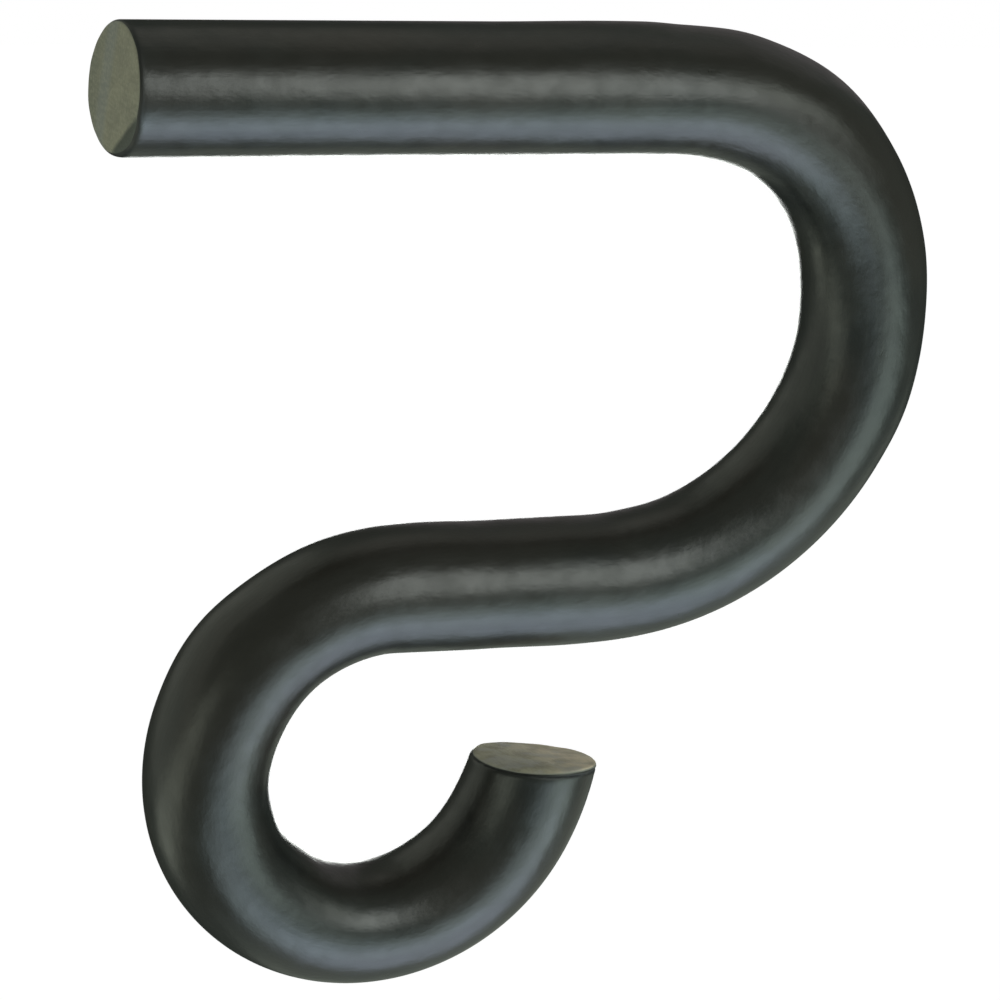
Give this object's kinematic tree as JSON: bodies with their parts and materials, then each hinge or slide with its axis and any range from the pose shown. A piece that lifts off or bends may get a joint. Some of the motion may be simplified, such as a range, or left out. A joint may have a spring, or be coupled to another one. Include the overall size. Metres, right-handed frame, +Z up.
{
  "type": "bent bar shutter holdback",
  "caption": "Plain round steel bar bent in one plane: a straight shank, a wide return bend, a short middle run and a tight upturned hook, with plain cropped ends.",
  "frame": {"origin": "centre of the shank's cropped end face", "axes": "+X along the straight shank away from its cropped end, +Z up in the plane of the bends, +Y across the bend plane, away from the viewer who sees the hook below the shank"},
  "size_m": [0.0864, 0.0126, 0.0988],
  "materials": {
    "blackened_steel": "satin black over cold-bent bar, slightly mottled; duller olive-grey on the two cropped end faces"
  },
  "bodies": {
    "root": {"bent_bar": "blackened_steel"}
  },
  "joints": []
}
